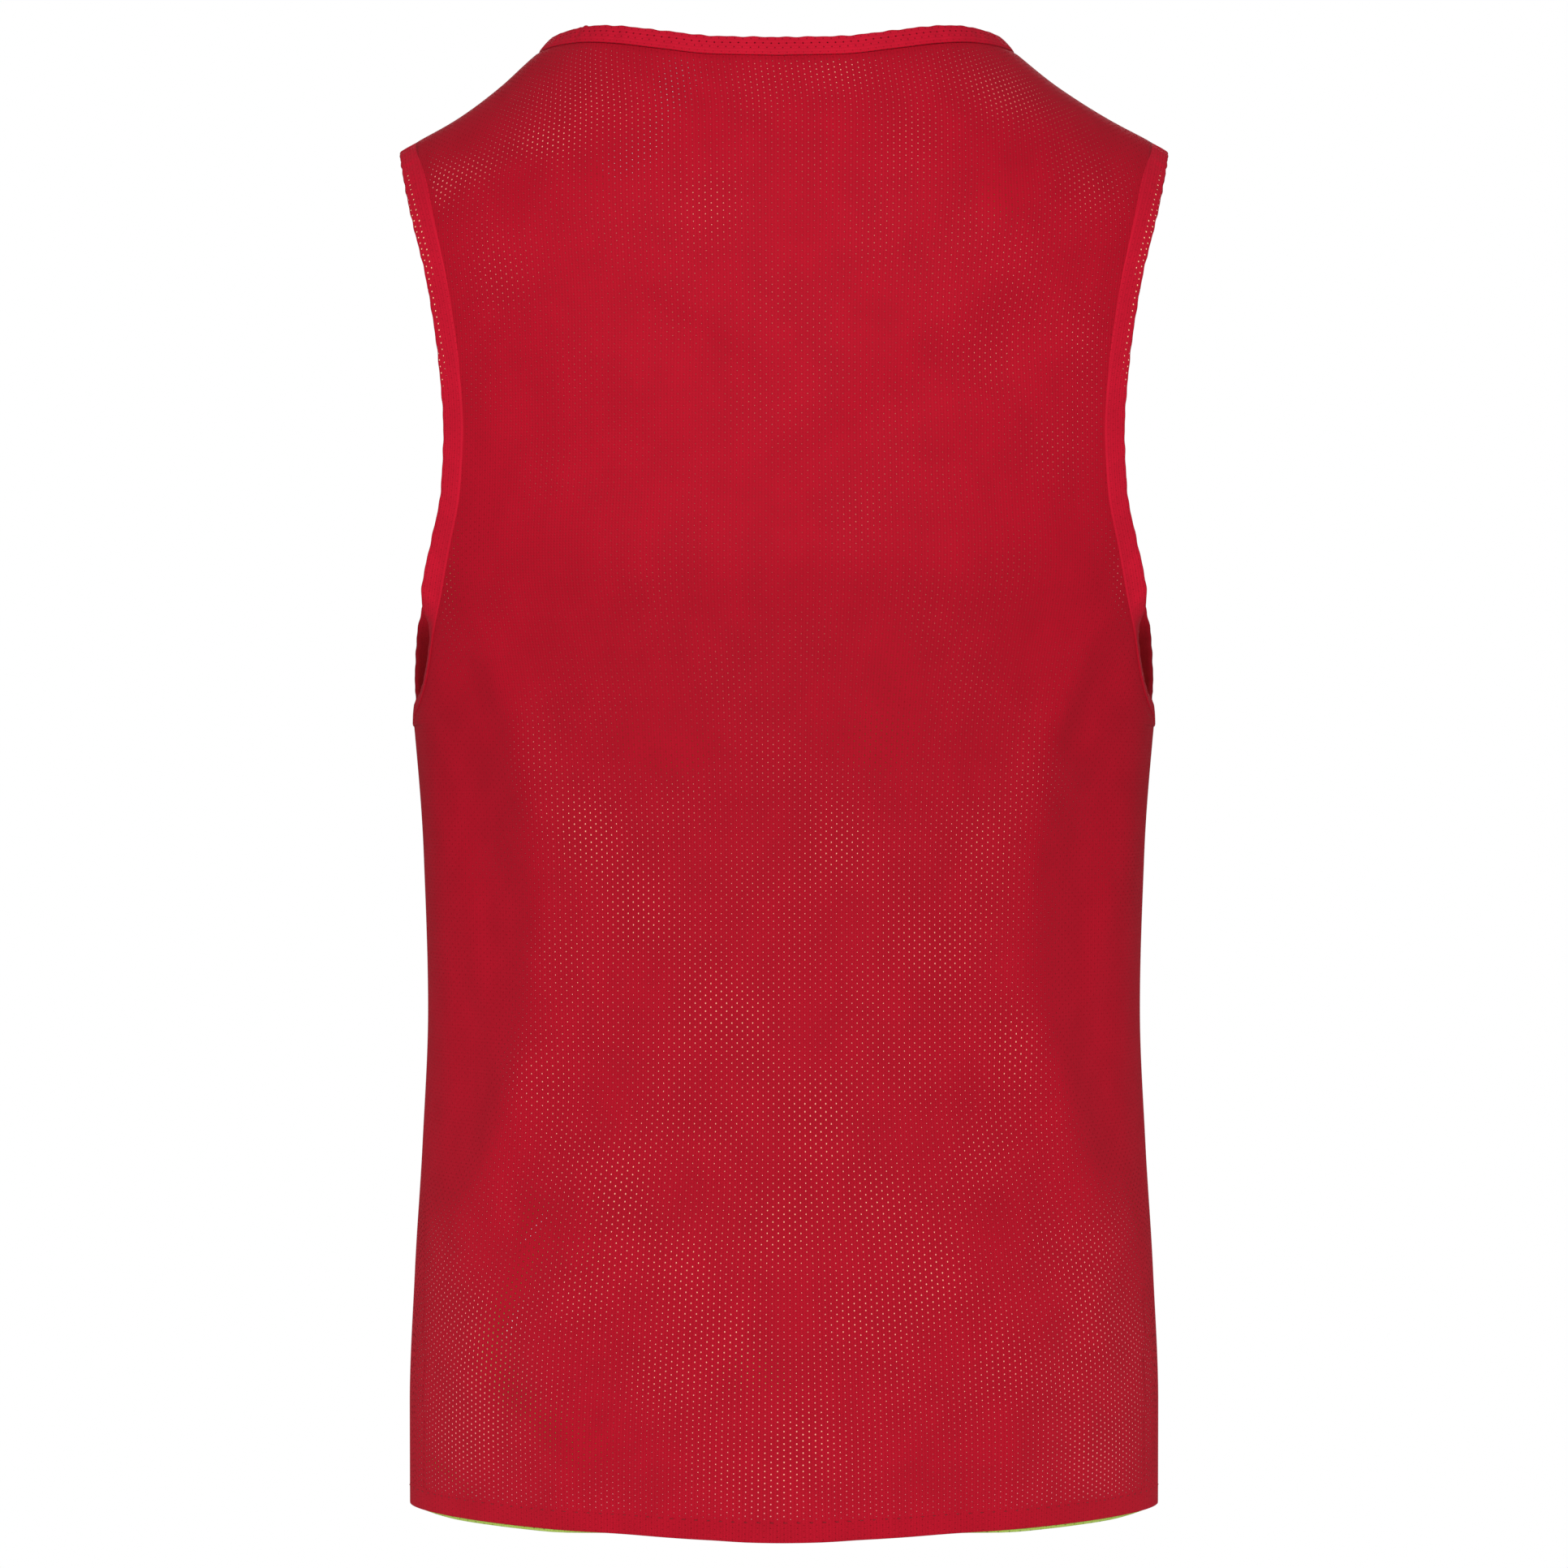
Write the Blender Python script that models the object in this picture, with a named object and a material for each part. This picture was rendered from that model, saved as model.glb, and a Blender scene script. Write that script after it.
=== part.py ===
"""Reversible training bib in its worn shape: two layers of holed mesh cloth, sewn back to back.

Metres, +Z up. The garment's front faces -Y and its back faces +Y. The origin lies between the
shoulders, at the middle height of the shoulder seams, where a wearer carries the cloth.
"""
import bmesh
import bpy
import numpy as np

# Driving dimensions
HEM = -0.664            # height of the red hem
UNDERARM = -0.2955      # height of the panels' edge under the arm
SIDE_HALF = 0.1751      # centre to side seam at that height
NECK_HALF = 0.113       # centre to the neck end of a shoulder seam
TIP_HALF = 0.1742       # centre to the arm end of a shoulder seam
NECK_CORNER = 0.023     # height of the neck end of a shoulder seam
NECK_SHIFT = 0.0035     # the neck sits this far to the wearer's left
NECK_SHIFT_FROM = -0.02  # height at which that shift begins
FRONT_NECK = -0.078     # height of the panel's edge at the centre of the front neck
FRONT_NECK_SQUARE = 1.95  # exponent of the front neckline: 2 is an ellipse, more is squarer
SHOULDER_ROUND = 1.8    # exponent of the curve over the shoulder

CLOTH = 0.001           # thickness of each layer
LAYER_GAP = 0.0004      # air between the two layers
SEAM_GAP = 0.0003       # between pieces that are sewn together
LINING_DROP = 0.001     # the yellow layer hangs this much lower at the hem
BOTH_LAYERS = 2 * CLOTH + LAYER_GAP

NECK_BAND = 0.0096      # width of the binding round the neck
NECK_BAND_STANDS = 0.45  # how far that binding turns up from the cloth: 0 none, 1 upright
ARM_BAND = 0.0092       # width of the binding round an armhole
BAND_PROUD = 0.0002     # a binding stands this much over the cloth on each face
BAND_EDGE = 0.0006      # its folded edge is rounded off by this much

# Half panel: cells across the neck edge and the shoulder seam, and up the body and the yoke
NECK_CELLS = 9
SHOULDER_CELLS = 5
BODY_CELLS = 13
YOKE_CELLS = 14
NECK_SPREAD = 1.15      # cells round the neck get shorter towards the shoulder as this grows
SIDE_SPREAD = 1.35      # cells across the body get shorter towards the side seam as this grows
EDGE_PULL = 3           # how closely a column's move towards the armhole's edge keeps to the edge
EDGE_PASSES = 4         # rounds in which the yoke's rows and the armhole's edge settle together
FINE_STEPS = 400        # points at which the length of the neckline is measured

# Level rings of the cloth, from the hem up. Depths are measured from the plane of the seams,
# and a squareness of 2 is an ellipse. Above the underarm the ring runs on past the armhole.
RINGS = (
    # height, half width, back depth, front depth, back squareness, front squareness
    (HEM, 0.1775, 0.1210, 0.1120, 1.60, 1.70),
    (-0.616, 0.1775, 0.1185, 0.1100, 1.75, 1.80),
    (-0.555, 0.1750, 0.1135, 0.1060, 2.00, 2.00),
    (-0.493, 0.1713, 0.1070, 0.1030, 2.25, 2.15),
    (-0.428, 0.1686, 0.1040, 0.1020, 2.45, 2.25),
    (-0.355, 0.1706, 0.1060, 0.1070, 2.50, 2.30),
    (UNDERARM, SIDE_HALF, 0.1110, 0.1140, 2.40, 2.60),
    (-0.220, 0.1835, 0.1165, 0.1180, 2.30, 2.45),
    (-0.120, 0.1920, 0.1175, 0.1130, 2.30, 2.30),
    (-0.040, 0.2020, 0.1120, 0.1040, 2.30, 2.30),
    (0.030, 0.2060, 0.1040, 0.0960, 2.30, 2.30),
)

# The line over the shoulders, from the centre out. Between the neck ends it is where the cloth
# would close over the neck. A rounding is the height in which the cloth turns down from it.
RIDGE = (
    # from centre, height, back rounding, front rounding
    (0.000, 0.0700, 0.130, 0.240),
    (0.040, 0.0635, 0.125, 0.215),
    (0.082, 0.0465, 0.110, 0.150),
    (NECK_HALF, NECK_CORNER, 0.095, 0.105),
    (0.1315, 0.0073, 0.085, 0.088),
    (0.154, -0.0081, 0.072, 0.074),
    (TIP_HALF, -0.0190, 0.062, 0.062),
)

# The panel's edge along the back of the neck
BACK_NECK = (
    # from centre, height
    (0.000, 0.0103),
    (0.030, 0.0114),
    (0.0565, 0.0154),
    (0.076, 0.0192),
    (0.093, 0.0216),
    (NECK_HALF, NECK_CORNER),
)

# The panels' edges round an armhole, from the underarm up
ARMHOLE = (
    # height, back from centre, front from centre
    (UNDERARM, SIDE_HALF, SIDE_HALF),
    (-0.2915, 0.1736, 0.1745),
    (-0.2855, 0.1702, 0.1734),
    (-0.2755, 0.1666, 0.1724),
    (-0.2610, 0.1637, 0.1710),
    (-0.2355, 0.1602, 0.1664),
    (-0.2160, 0.1566, 0.1600),
    (-0.1875, 0.1511, 0.1488),
    (-0.1600, 0.1496, 0.1436),
    (-0.1300, 0.1517, 0.1420),
    (-0.0950, 0.1568, 0.1452),
    (-0.0545, 0.1660, 0.1570),
    (-0.0190, TIP_HALF, TIP_HALF),
)

# Soft folds. Each runs from one place to another as seen from outside the garment's back or
# front, is a ridge if its rise is positive and a trough if not, and fades at both ends.
FOLDS = (
    # side, from x, from z, to x, to z, half width, rise
    (1, 0.098, -0.300, 0.112, -0.425, 0.018, 0.0034),
    (1, -0.100, -0.305, -0.110, -0.415, 0.018, 0.0032),
    (1, 0.026, -0.370, 0.132, -0.640, 0.020, 0.0030),
    (1, -0.022, -0.365, -0.136, -0.645, 0.021, 0.0032),
    (1, 0.000, -0.520, 0.004, -0.700, 0.034, 0.0036),
    (1, 0.070, -0.560, 0.076, -0.700, 0.020, -0.0030),
    (1, -0.074, -0.565, -0.078, -0.700, 0.021, -0.0028),
    (1, -0.130, -0.060, 0.010, -0.170, 0.017, 0.0026),
    (1, -0.120, -0.100, 0.040, -0.215, 0.015, -0.0020),
    (1, 0.125, -0.110, 0.030, -0.160, 0.016, 0.0018),
    (-1, 0.092, -0.150, 0.118, -0.420, 0.022, 0.0034),
    (-1, -0.096, -0.160, -0.114, -0.440, 0.021, 0.0030),
    (-1, 0.020, -0.260, 0.104, -0.640, 0.023, 0.0028),
    (-1, -0.030, -0.280, -0.124, -0.650, 0.022, 0.0030),
    (-1, -0.004, -0.500, -0.002, -0.700, 0.034, 0.0034),
    (-1, 0.062, -0.550, 0.070, -0.700, 0.020, -0.0028),
    (-1, -0.066, -0.560, -0.072, -0.700, 0.021, -0.0030),
    (-1, 0.110, -0.070, 0.010, -0.150, 0.018, -0.0018),
)
FOLD_MARGIN = 0.035     # folds fade out this far from seams and armholes
FOLD_OVERRUN = 0.1      # share of a fold's length by which it runs on past each end
FOLD_FADE = 0.35        # share of a fold's length over which it fades at each end

RED = (0.47, 0.008, 0.018, 1.0)
BRIGHT_RED = (0.60, 0.006, 0.022, 1.0)
YELLOW = (0.62, 0.72, 0.05, 1.0)
CLOTH_ROUGHNESS = 0.85
SHARP_ANGLE = 0.9       # edges that turn more than this, in radians, are shaded sharp


def follow(table, column, at):
    """Smooth curve without overshoot through a column of a table, read along its first one."""
    x = np.array([row[0] for row in table])
    y = np.array([row[column] for row in table])
    slope = np.diff(y) / np.diff(x)
    before, after = slope[:-1], slope[1:]
    product = before * after
    total = before + after
    safe = np.where(total == 0, 1, total)
    inner = np.where(product > 0, 2 * product / safe, 0)
    tangent = np.concatenate(([slope[0]], inner, [slope[-1]]))
    at = np.clip(at, x[0], x[-1])
    i = np.clip(np.searchsorted(x, at, side="right") - 1, 0, len(x) - 2)
    step = x[i + 1] - x[i]
    t = (at - x[i]) / step
    rise = y[i + 1] - y[i]
    bend = (1 - t) * (tangent[i] * step - rise) - t * (tangent[i + 1] * step - rise)
    return y[i] + t * rise + t * (1 - t) * bend


def smooth(value, low, high):
    """Rises softly from 0 at low to 1 at high."""
    t = np.clip((value - low) / (high - low), 0, 1)
    return t * t * (3 - 2 * t)


def depth(side, x, z):
    """How far the cloth lies from the seams' plane, behind it for side 1, before it for -1."""
    out = np.abs(x)
    back = side > 0
    square = follow(RINGS, 4 if back else 5, z)
    part = np.minimum(out / follow(RINGS, 1, z), 1)
    ring = follow(RINGS, 2 if back else 3, z) * (1 - part**square) ** (1 / square)
    below = (follow(RIDGE, 1, out) - z) / follow(RIDGE, 2 if back else 3, out)
    left = 1 - np.clip(below, 0, 1)
    return ring * (1 - left**SHOULDER_ROUND) ** (1 / SHOULDER_ROUND)


def neckline(side, turn):
    """The panel's edge round half the neck, for turn from 0 at the centre to 1: x and z."""
    x = NECK_HALF * np.sin(turn * np.pi / 2)
    if side > 0:
        return x, follow(BACK_NECK, 1, x)
    drop = (1 - (x / NECK_HALF) ** FRONT_NECK_SQUARE) ** (1 / FRONT_NECK_SQUARE)
    return x, NECK_CORNER + (FRONT_NECK - NECK_CORNER) * drop


def top_edge(side):
    """The neckline and shoulder seam of half a panel, from the centre out: x and z."""
    fine = 1 - np.linspace(1, 0, FINE_STEPS) ** 2
    x, z = neckline(side, fine)
    steps = np.linalg.norm(np.diff((x, depth(side, x, z), z)), axis=0)
    length = np.concatenate(([0], np.cumsum(steps))) / np.sum(steps)
    stops = 1 - np.linspace(1, 0, NECK_CELLS + 1) ** NECK_SPREAD
    neck_x, neck_z = neckline(side, np.interp(stops, length, fine))
    shoulder_x = np.linspace(NECK_HALF, TIP_HALF, SHOULDER_CELLS + 1)[1:]
    x = np.concatenate((neck_x, shoulder_x))
    z = np.concatenate((neck_z, follow(RIDGE, 1, shoulder_x)))
    return x, z


def fold_rise(side, x, z):
    """Height of the soft folds over the plain form."""
    total = np.zeros_like(x)
    for row_side, x0, z0, x1, z1, width, rise in FOLDS:
        if row_side != side:
            continue
        dx, dz = x1 - x0, z1 - z0
        along = ((x - x0) * dx + (z - z0) * dz) / (dx * dx + dz * dz)
        held = np.clip(along, 0, 1)
        off = np.hypot(x - x0 - held * dx, z - z0 - held * dz)
        fade = smooth(np.minimum(along, 1 - along), -FOLD_OVERRUN, FOLD_FADE - FOLD_OVERRUN)
        total += rise * fade * np.exp(-((off / width) ** 2))
    return total


def unit(vectors):
    return vectors / np.linalg.norm(vectors, axis=-1, keepdims=True)


def panel(side):
    """Grid of points on a panel's outer face, and their normals: rows up, columns across x."""
    top_x, top_z = top_edge(side)
    half = NECK_CELLS + SHOULDER_CELLS
    across = np.sin((1 - np.linspace(1, 0, half + 1) ** SIDE_SPREAD) * np.pi / 2)

    body_z = np.linspace(HEM, UNDERARM, BODY_CELLS + 1)
    x = follow(RINGS, 1, body_z)[:, None] * across
    z = np.repeat(body_z[:, None], half + 1, axis=1)

    # Rows are close together at both ends of the armhole, and closest at the shoulder
    up = (1 - np.cos(np.linspace(0, np.pi, YOKE_CELLS + 1))) / 2
    up = np.concatenate((up[1:-1], [(3 + up[-2]) / 4, 1]))[:, None]
    # Columns rise upright from the body and fan out late to their places along the top
    late = 1 - np.sqrt(1 - up**2)
    plain_x = SIDE_HALF * across * (1 - late) + top_x * late
    pull = across**EDGE_PULL
    yoke_x = plain_x
    for _ in range(EDGE_PASSES):
        ceiling = follow(RIDGE, 1, yoke_x) + top_z - follow(RIDGE, 1, top_x)
        yoke_z = UNDERARM + up * (ceiling - UNDERARM)
        edge = follow(ARMHOLE, 1 if side > 0 else 2, yoke_z[:, -1:])
        yoke_x = plain_x + (edge - plain_x[:, -1:]) * pull
    x = np.vstack((x, yoke_x))
    z = np.vstack((z, yoke_z))

    x = np.hstack((-x[:, :0:-1], x))
    z = np.hstack((z[:, :0:-1], z))
    y = side * depth(side, x, z)
    points = np.stack((x, y, z), axis=2)
    normals = outward(points, side)
    points[:, :, 0] += NECK_SHIFT * smooth(z, NECK_SHIFT_FROM, NECK_CORNER)

    inward = np.abs(x[:, -1:]) - np.abs(x)
    from_edge = np.hypot(inward, np.abs(y) - np.abs(y[:, -1:]))
    from_top = z[-1:] - z
    fade = smooth(from_edge, 0, FOLD_MARGIN) * smooth(from_top, 0, FOLD_MARGIN)
    points += normals * (fold_rise(side, x, z) * fade)[:, :, None]
    return points, normals


def outward(points, side):
    """Normals of the plain form. On a seam both panels share one, square to the seam and to Y."""
    x, z = points[:, :, 0], points[:, :, 2]
    step = 0.00001
    slope_x = (depth(side, x + step, z) - depth(side, x - step, z)) / (2 * step)
    slope_z = (depth(side, x, z + step) - depth(side, x, z - step)) / (2 * step)
    normals = unit(np.stack((-slope_x, np.full_like(x, side), -slope_z), axis=2))

    body = slice(0, BODY_CELLS + 1)
    for column, out in ((0, -1), (-1, 1)):
        climb = np.gradient(points[body, column], axis=0)
        square = (climb[:, 2], 0 * climb[:, 0], -climb[:, 0])
        normals[body, column] = unit(np.stack(square, axis=1) * out)
    for seam in shoulder_columns():
        run = np.gradient(points[-1, seam], axis=0)
        normals[-1, seam] = unit(np.stack((-run[:, 2], 0 * run[:, 0], run[:, 0]), axis=1))
    return normals


def shoulder_columns():
    """The columns of the right and the left shoulder seam, in the top row."""
    return slice(0, SHOULDER_CELLS + 1), slice(-SHOULDER_CELLS - 1, None)


def neck_columns():
    return slice(SHOULDER_CELLS, SHOULDER_CELLS + 2 * NECK_CELLS + 1)


def part_at_seams(points, side):
    """Moves a panel's side and shoulder seams half a gap away from the other panel."""
    parted = points.copy()
    for column in (0, -1):
        parted[:BODY_CELLS + 1, column, 1] = side * SEAM_GAP / 2
    for seam in shoulder_columns():
        parted[-1, seam, 1] = side * SEAM_GAP / 2
    return parted


def cloth_material(name, colour):
    material = bpy.data.materials.new(name)
    material.use_nodes = True
    shader = material.node_tree.nodes["Principled BSDF"]
    shader.inputs["Base Color"].default_value = colour
    shader.inputs["Roughness"].default_value = CLOTH_ROUGHNESS
    shader.inputs["Metallic"].default_value = 0.0
    return material


def strip(bm, rows, closed):
    """Skins rows of vertices with pairs of triangles. Closed rows join up end to end."""
    for low, high in zip(rows, rows[1:]):
        count = len(low)
        for i in range(count if closed else count - 1):
            j = (i + 1) % count
            bm.faces.new((low[i], low[j], high[j]))
            bm.faces.new((low[i], high[j], high[i]))


def add_object(name, bm, material):
    bmesh.ops.recalc_face_normals(bm, faces=bm.faces)
    mesh = bpy.data.meshes.new(name)
    bm.to_mesh(mesh)
    bm.free()
    mesh.materials.append(material)
    mesh.shade_smooth()
    mesh.set_sharp_from_angle(angle=SHARP_ANGLE)
    bpy.context.collection.objects.link(bpy.data.objects.new(name, mesh))


def add_wall(name, outer, inner, material):
    """Closed wall between two matching grids of points."""
    bm = bmesh.new()
    faces = [[[bm.verts.new(point) for point in row] for row in grid] for grid in (outer, inner)]
    strip(bm, faces[0], closed=False)
    strip(bm, faces[1], closed=False)
    rims = []
    for grid in faces:
        right = [row[-1] for row in grid[1:-1]]
        left = [row[0] for row in grid[1:-1]]
        rims.append(grid[0] + right + grid[-1][::-1] + left[::-1])
    strip(bm, rims, closed=True)
    add_object(name, bm, material)


def add_binding(name, edge, normals, away, width, material):
    """Folded band beyond a closed edge: away is the direction that leads off the panel."""
    top = BAND_PROUD
    bottom = -BOTH_LAYERS - BAND_PROUD
    section = (
        # out from the edge, over the cloth's face
        (SEAM_GAP, top),
        (SEAM_GAP + width - BAND_EDGE, top),
        (SEAM_GAP + width, top - BAND_EDGE),
        (SEAM_GAP + width, bottom + BAND_EDGE),
        (SEAM_GAP + width - BAND_EDGE, bottom),
        (SEAM_GAP, bottom),
        (SEAM_GAP, (top + bottom) / 2),
    )
    bm = bmesh.new()
    loops = [
        [bm.verts.new(point) for point in edge + away * out + normals * over]
        for out, over in section
    ]
    strip(bm, loops + loops[:1], closed=True)
    add_object(name, bm, material)


def away_from_panel(edge, normals, towards):
    """Direction in the cloth, square to a closed edge, on the side that towards points to."""
    ahead = np.roll(edge, -1, axis=0) - edge
    run = unit(unit(ahead) + unit(np.roll(ahead, 1, axis=0)))
    away = unit(np.cross(run, normals))
    return away * np.sign(np.sum(away * towards, axis=1, keepdims=True)), run


def around(back, front):
    """Joins the back's and the front's stretch of an edge into one closed loop."""
    return np.vstack((back, front[-2:0:-1]))


def neck_binding(back, front, material):
    edge, normals = (around(b[-1, neck_columns()], f[-1, neck_columns()]) for b, f in zip(back, front))
    away, run = away_from_panel(edge, normals, edge * (-1, -1, 0) + (0, 0, NECK_HALF))
    upright = np.array((0.0, 0.0, 1.0)) - run * run[:, 2:]
    away = unit(away * (1 - NECK_BAND_STANDS) + upright * NECK_BAND_STANDS)
    square = unit(np.cross(away, run))
    square *= np.sign(np.sum(square * normals, axis=1, keepdims=True))
    add_binding("neck_binding", edge, square, away, NECK_BAND, material)


def armhole_binding(name, column, back, front, material):
    rows = slice(BODY_CELLS, None)
    edge, normals = (around(b[rows, column], f[rows, column]) for b, f in zip(back, front))
    middle = edge.mean(axis=0)
    away, _ = away_from_panel(edge, normals, middle - edge)
    add_binding(name, edge, normals, away, ARM_BAND, material)


def main():
    for old in list(bpy.data.objects):
        bpy.data.objects.remove(old)
    red = cloth_material("red_mesh", RED)
    yellow = cloth_material("yellow_mesh", YELLOW)
    band = cloth_material("red_binding", BRIGHT_RED)

    back, front = panel(1), panel(-1)
    for word, side, (points, normals) in (("back", 1, back), ("front", -1, front)):
        face = part_at_seams(points, side)
        lining = face - normals * (CLOTH + LAYER_GAP)
        lining[0, :, 2] -= LINING_DROP
        add_wall(f"{word}_panel", face, face - normals * CLOTH, red)
        add_wall(f"{word}_lining", lining, lining - normals * CLOTH, yellow)

    neck_binding(back, front, band)
    armhole_binding("armhole_binding_left", -1, back, front, band)
    armhole_binding("armhole_binding_right", 0, back, front, band)


main()
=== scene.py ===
import math
from functools import partial

import bmesh
import bpy
import numpy as np
from mathutils import Matrix, Vector


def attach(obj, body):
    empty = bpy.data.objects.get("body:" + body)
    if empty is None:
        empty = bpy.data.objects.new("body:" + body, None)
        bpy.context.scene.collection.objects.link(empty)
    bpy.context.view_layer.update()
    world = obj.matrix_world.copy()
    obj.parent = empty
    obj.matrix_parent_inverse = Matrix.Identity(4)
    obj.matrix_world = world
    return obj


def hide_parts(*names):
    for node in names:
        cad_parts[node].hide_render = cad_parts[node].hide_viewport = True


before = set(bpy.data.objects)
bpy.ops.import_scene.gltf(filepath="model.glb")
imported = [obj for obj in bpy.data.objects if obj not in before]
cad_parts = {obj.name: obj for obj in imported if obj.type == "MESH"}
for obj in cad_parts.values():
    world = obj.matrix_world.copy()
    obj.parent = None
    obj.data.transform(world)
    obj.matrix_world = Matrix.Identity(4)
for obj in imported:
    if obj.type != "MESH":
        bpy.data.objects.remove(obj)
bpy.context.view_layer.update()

# ------------------------
# Red back and front
# The outer face of the bib: two panels of knitted polyester mesh, cut whole from neck to hem and
# sewn together over the shoulders and down the sides. Round holes run in staggered columns all
# over the cloth. At the bottom each panel is turned up to the inside.
# ------------------------
HEM = -0.664
UNDERARM = -0.2955
SIDE_HALF = 0.1751
NECK_HALF = 0.113
TIP_HALF = 0.1742
NECK_CORNER = 0.023
NECK_SHIFT = 0.0035
NECK_SHIFT_FROM = -0.02
FRONT_NECK = -0.078
FRONT_NECK_SQUARE = 1.95
SHOULDER_ROUND = 1.8

# The worn form, from the hem up, the same as the frame's own
RINGS = (
    # height, half width, back depth, front depth, back squareness, front squareness
    (HEM, 0.1775, 0.1210, 0.1120, 1.60, 1.70),
    (-0.616, 0.1775, 0.1185, 0.1100, 1.75, 1.80),
    (-0.555, 0.1750, 0.1135, 0.1060, 2.00, 2.00),
    (-0.493, 0.1713, 0.1070, 0.1030, 2.25, 2.15),
    (-0.428, 0.1686, 0.1040, 0.1020, 2.45, 2.25),
    (-0.355, 0.1706, 0.1060, 0.1070, 2.50, 2.30),
    (UNDERARM, SIDE_HALF, 0.1110, 0.1140, 2.40, 2.60),
    (-0.220, 0.1835, 0.1165, 0.1180, 2.30, 2.45),
    (-0.120, 0.1920, 0.1175, 0.1130, 2.30, 2.30),
    (-0.040, 0.2020, 0.1120, 0.1040, 2.30, 2.30),
    (0.030, 0.2060, 0.1040, 0.0960, 2.30, 2.30),
)
RIDGE = (
    # from centre, height, back rounding, front rounding
    (0.000, 0.0700, 0.130, 0.240),
    (0.040, 0.0635, 0.125, 0.215),
    (0.082, 0.0465, 0.110, 0.150),
    (NECK_HALF, NECK_CORNER, 0.095, 0.105),
    (0.1315, 0.0073, 0.085, 0.088),
    (0.154, -0.0081, 0.072, 0.074),
    (TIP_HALF, -0.0190, 0.062, 0.062),
)
BACK_NECK = (
    # from centre, height
    (0.000, 0.0103),
    (0.030, 0.0114),
    (0.0565, 0.0154),
    (0.076, 0.0192),
    (0.093, 0.0216),
    (NECK_HALF, NECK_CORNER),
)
ARMHOLE = (
    # height, back from centre, front from centre
    (UNDERARM, SIDE_HALF, SIDE_HALF),
    (-0.2915, 0.1736, 0.1745),
    (-0.2855, 0.1702, 0.1734),
    (-0.2755, 0.1666, 0.1724),
    (-0.2610, 0.1637, 0.1710),
    (-0.2355, 0.1602, 0.1664),
    (-0.2160, 0.1566, 0.1600),
    (-0.1875, 0.1511, 0.1488),
    (-0.1600, 0.1496, 0.1436),
    (-0.1300, 0.1517, 0.1420),
    (-0.0950, 0.1568, 0.1452),
    (-0.0545, 0.1660, 0.1570),
    (-0.0190, TIP_HALF, TIP_HALF),
)

# Folds and creases, in millimetres: from x and z, to x and z, bow, half width, rise, which is over
# 0 for a ridge and under 0 for a trough. A fold bows sideways at its middle, towards the wearer's
# left where it runs down and up where it runs to the wearer's left.
BACK_FOLDS = (
    (134, -262, 148, -530, -33, 13.5, 5.6),
    (-133, -266, -151, -526, 34, 14, 5.4),
    (158, -270, 164, -520, -16, 18, -5.5),
    (-158, -272, -165, -518, 16, 18, -5.2),
    (-150, -219, 148, -217, 3, 24, 4.4),
    (26, -370, 132, -640, 0, 20, 2.8),
    (-22, -365, -136, -645, 0, 21, 3),
    (0, -520, 4, -700, 0, 34, 3.4),
    (70, -560, 76, -700, 0, 20, -2.6),
    (-74, -565, -78, -700, 0, 21, -2.4),
    (-130, -60, 10, -170, 0, 17, 2.4),
    (-120, -100, 40, -215, 0, 15, -1.8),
    (125, -110, 30, -160, 0, 16, 1.8),
)
FRONT_FOLDS = (
    (132, -250, 146, -520, -30, 14, 5),
    (-134, -240, -150, -535, 33, 14.5, 5.2),
    (157, -262, 163, -515, -15, 18, -5),
    (-158, -255, -164, -522, 16, 18, -5.3),
    (-120, -236, 126, -228, -6, 25, 3),
    (20, -260, 104, -640, 0, 23, 2.8),
    (-30, -280, -124, -650, 0, 22, 3),
    (-4, -500, -2, -700, 0, 34, 3.4),
    (62, -550, 70, -700, 0, 20, -2.8),
    (-66, -560, -72, -700, 0, 21, -3),
    (110, -70, 10, -150, 0, 18, -1.8),
)
FOLD_MARGIN = 0.035  # folds fade out over this width beside an edge
FOLD_OVERRUN = 0.1  # and run past their ends by this share of their length
FOLD_FADE = 0.35  # to fade over this share of it

# Smaller creases, which come closer to the seams
BACK_CREASES = (
    (-146, -34, -70, -86, 0, 6, 1.2),
    (-140, -60, -40, -120, 0, 6.5, -1),
    (-90, -34, -6, -112, -4, 9, 1.7),
    (-64, -30, 6, -84, -3, 7, 1),
    (-126, -104, -86, -146, 0, 13, -2.4),
    (-112, -148, -12, -194, 3, 7.5, 1.1),
    (76, -100, 6, -152, -4, 8, -1.5),
    (70, -88, 0, -138, -4, 8, 1.2),
    (140, -40, 82, -70, 0, 6, 1),
    (132, -150, 50, -205, 0, 8, -0.9),
    (150, -262, 126, -308, 0, 10, -2),
    (-152, -264, -128, -312, 0, 10, -2.2),
    (154, -350, 140, -440, 0, 7, 1),
    (-156, -360, -143, -430, 0, 7, 1.1),
    (100, -330, 86, -384, 0, 6, 1),
    (-98, -325, -88, -380, 0, 6, 0.9),
    (50, -385, 92, -441, 3, 5.5, 1.2),
    (-55, -385, -97, -448, -3, 5.5, 1.2),
    (38, -430, 56, -500, 0, 9, 0.8),
    (-44, -430, -58, -505, 0, 9, 0.8),
    (-46, -514, 50, -512, 2, 9.5, -1.7),
    (-50, -547, 48, -546, 3, 12, 2.2),
    (34, -565, 40, -655, 0, 8, -1),
    (-36, -570, -45, -658, 0, 8, -1),
    (-30, -668, 28, -668, 0, 16, 2.6),
    (138, -546, 148, -610, 0, 9.5, 1.4),
    (-140, -540, -150, -605, 0, 9.5, 1.4),
    (124, -575, 131, -652, 0, 8, -1.2),
    (-126, -580, -134, -654, 0, 8, -1.2),
    (100, -600, 106, -658, 0, 7, 0.9),
    (-102, -605, -108, -658, 0, 7, 0.9),
)
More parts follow.
